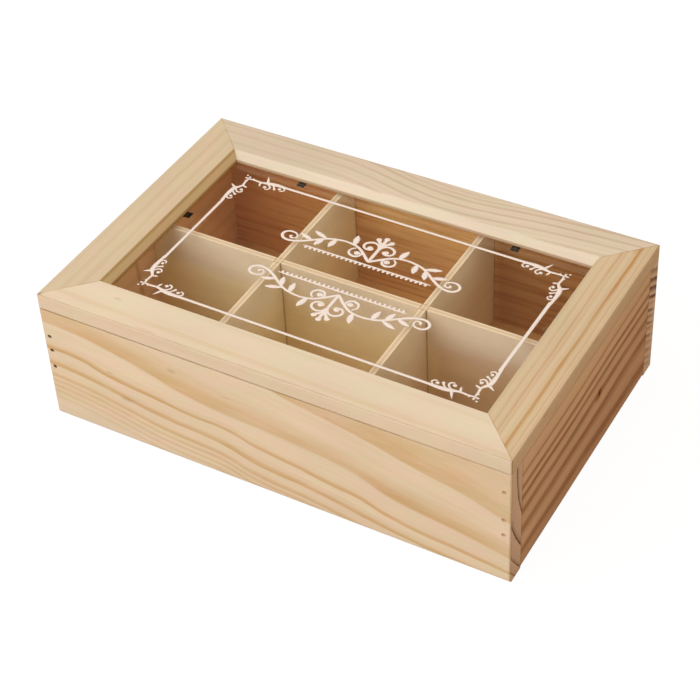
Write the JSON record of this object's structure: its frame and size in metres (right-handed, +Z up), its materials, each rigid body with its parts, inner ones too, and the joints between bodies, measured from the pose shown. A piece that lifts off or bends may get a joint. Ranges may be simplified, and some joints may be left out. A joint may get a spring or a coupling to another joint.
{
  "type": "tea bag organizer box",
  "caption": "Low pine box with a grid of compartments under a hinged lid: a mitred, bevelled frame that holds a pane of glass.",
  "frame": {"origin": "on the table under the middle of the footprint, hinge barrels included", "axes": "+X to the right along the front, +Y to the hinged back, +Z up"},
  "size_m": [0.24, 0.1628, 0.0734],
  "materials": {
    "pine": "sanded, unfinished",
    "lid_pine": "sanded, unfinished",
    "plywood": "sanded, unfinished",
    "clear_glass": "clear float glass",
    "nail_steel": "plain wire",
    "blackened_steel": "blackened",
    "brass": "plated, satin"
  },
  "bodies": {
    "box": {"front_board": "pine", "back_board": "pine", "left_board": "pine", "right_board": "pine", "bottom_panel": "plywood", "long_divider": "plywood", "left_cross_divider": "plywood", "right_cross_divider": "plywood", "corner_brads": "nail_steel", "bottom_brads": "nail_steel", "left_hinge_box_leaf": "brass", "left_hinge_pin": "brass", "right_hinge_box_leaf": "brass", "right_hinge_pin": "brass", "hinge_box_screws": "brass"},
    "lid": {"lid_front_rail": "lid_pine", "lid_back_rail": "lid_pine", "lid_left_rail": "lid_pine", "lid_right_rail": "lid_pine", "glass_pane": "clear_glass", "glazing_points": "blackened_steel", "lid_v_nails": "nail_steel", "left_hinge_lid_leaf": "brass", "right_hinge_lid_leaf": "brass", "hinge_lid_screws": "brass"}
  },
  "joints": [
    {"name": "lid_hinge", "type": "hinge", "parent": "box", "child": "lid", "pos_m": [0, 0.0794, 0.06515], "axis": [-1, 0, 0], "range_deg": [0, 200]}
  ]
}
